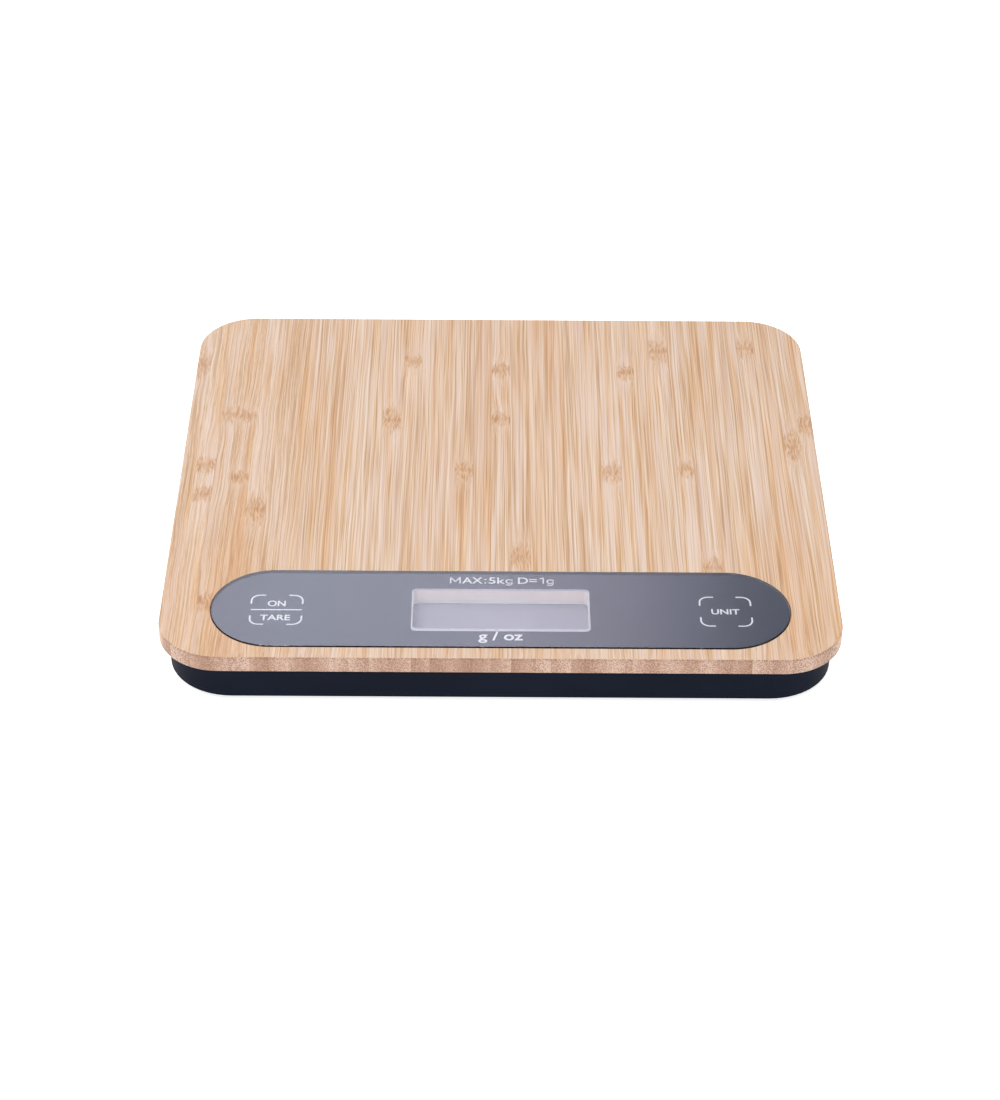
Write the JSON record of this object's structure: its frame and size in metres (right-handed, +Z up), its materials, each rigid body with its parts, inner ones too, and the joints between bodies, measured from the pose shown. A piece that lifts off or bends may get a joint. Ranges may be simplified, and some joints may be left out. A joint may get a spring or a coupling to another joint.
{
  "type": "kitchen scale",
  "caption": "Slim electronic kitchen scale: square bamboo platform with a pill-shaped glass touch panel at the front, on a dark plastic base with load-sensing feet.",
  "frame": {"origin": "on the table, under the middle of the platform", "axes": "+Z up, +X to the right, -Y towards the user and the display"},
  "size_m": [0.2, 0.186, 0.0184],
  "materials": {
    "bamboo": "oiled, fine sanded",
    "panel_glass": "polished",
    "black_print": "smooth screen print",
    "gasket_foam": "soft foam",
    "lcd_film": "satin film",
    "lcd_glass": "polished",
    "reflector_foil": "satin foil",
    "white_plastic": "matte",
    "connector_rubber": "matte",
    "circuit_board": "solder mask",
    "black_epoxy": "moulded",
    "nickel_steel": "nickel plated",
    "tan_ceramic": "fired",
    "base_plastic": "fine moulded grain",
    "gray_foam": "soft foam",
    "red_insulation": "smooth",
    "white_insulation": "smooth",
    "silver_label": "blank coated label",
    "zinc_steel": "zinc plated",
    "copper_pad": "tinned copper",
    "ivory_plastic": "moulded",
    "foot_rubber": "matte",
    "foot_plastic": "moulded",
    "cell_steel": "stamped alloy steel",
    "gauge_coating": "silicone coat",
    "holder_plastic": "moulded"
  },
  "bodies": {
    "case": {"bamboo_platform": "bamboo", "display_glass": "panel_glass", "panel_adhesive": "black_print", "lcd_gasket": "gasket_foam", "lcd_polarizer": "lcd_film", "lcd_front_glass": "lcd_glass", "lcd_back_glass": "lcd_glass", "lcd_reflector": "reflector_foil", "lcd_frame": "white_plastic", "zebra_connector": "connector_rubber", "main_board": "circuit_board", "controller_blob": "black_epoxy", "adc_chip": "black_epoxy", "clock_crystal": "nickel_steel", "board_capacitors": "tan_ceramic", "base_shell": "base_plastic", "coin_cell": "nickel_steel", "battery_contact_negative": "nickel_steel", "battery_contact_positive": "nickel_steel", "battery_wires": "red_insulation", "rating_label": "silver_label", "case_screws": "zinc_steel", "board_screws": "zinc_steel", "holder_screws": "zinc_steel", "touch_pad_left": "copper_pad", "touch_pad_right": "copper_pad", "touch_wire_left": "white_insulation", "touch_wire_right": "white_insulation", "wire_header_left": "ivory_plastic", "wire_header_right": "ivory_plastic", "load_cell_front_left": "cell_steel", "load_cell_front_right": "cell_steel", "load_cell_rear_left": "cell_steel", "load_cell_rear_right": "cell_steel", "strain_gauge_front_left": "gauge_coating", "strain_gauge_front_right": "gauge_coating", "strain_gauge_rear_left": "gauge_coating", "strain_gauge_rear_right": "gauge_coating", "cell_holder_front_left": "holder_plastic", "cell_holder_front_right": "holder_plastic", "cell_holder_rear_left": "holder_plastic", "cell_holder_rear_right": "holder_plastic", "cell_wires_front_left": "red_insulation", "cell_wires_front_right": "red_insulation", "cell_wires_rear_left": "red_insulation", "cell_wires_rear_right": "red_insulation"},
    "battery_door": {"battery_door": "base_plastic", "door_latch": "base_plastic", "door_foam": "gray_foam"},
    "foot_front_left": {"foot_pad_front_left": "foot_rubber", "foot_cap_front_left": "foot_plastic"},
    "foot_front_right": {"foot_pad_front_right": "foot_rubber", "foot_cap_front_right": "foot_plastic"},
    "foot_rear_left": {"foot_pad_rear_left": "foot_rubber", "foot_cap_rear_left": "foot_plastic"},
    "foot_rear_right": {"foot_pad_rear_right": "foot_rubber", "foot_cap_rear_right": "foot_plastic"}
  },
  "joints": [
    {"name": "foot_front_left_press", "type": "slide", "parent": "case", "child": "foot_front_left", "axis": [0, 0, 1], "range_m": [0, 0.0003], "stiffness_N_per_m": 2000, "springref_m": -0.0005, "deforming": ["load_cell_front_left"]},
    {"name": "foot_front_right_press", "type": "slide", "parent": "case", "child": "foot_front_right", "axis": [0, 0, 1], "range_m": [0, 0.0003], "stiffness_N_per_m": 2000, "springref_m": -0.0005, "deforming": ["load_cell_front_right"]},
    {"name": "foot_rear_left_press", "type": "slide", "parent": "case", "child": "foot_rear_left", "axis": [0, 0, 1], "range_m": [0, 0.0003], "stiffness_N_per_m": 2000, "springref_m": -0.0005, "deforming": ["load_cell_rear_left"]},
    {"name": "foot_rear_right_press", "type": "slide", "parent": "case", "child": "foot_rear_right", "axis": [0, 0, 1], "range_m": [0, 0.0003], "stiffness_N_per_m": 2000, "springref_m": -0.0005, "deforming": ["load_cell_rear_right"]},
    {"name": "battery_door_hinge", "type": "hinge", "parent": "case", "child": "battery_door", "pos_m": [0, 0.0326, 0.0032], "axis": [1, 0, 0], "range_deg": [0, 75], "deforming": ["door_latch"]}
  ]
}
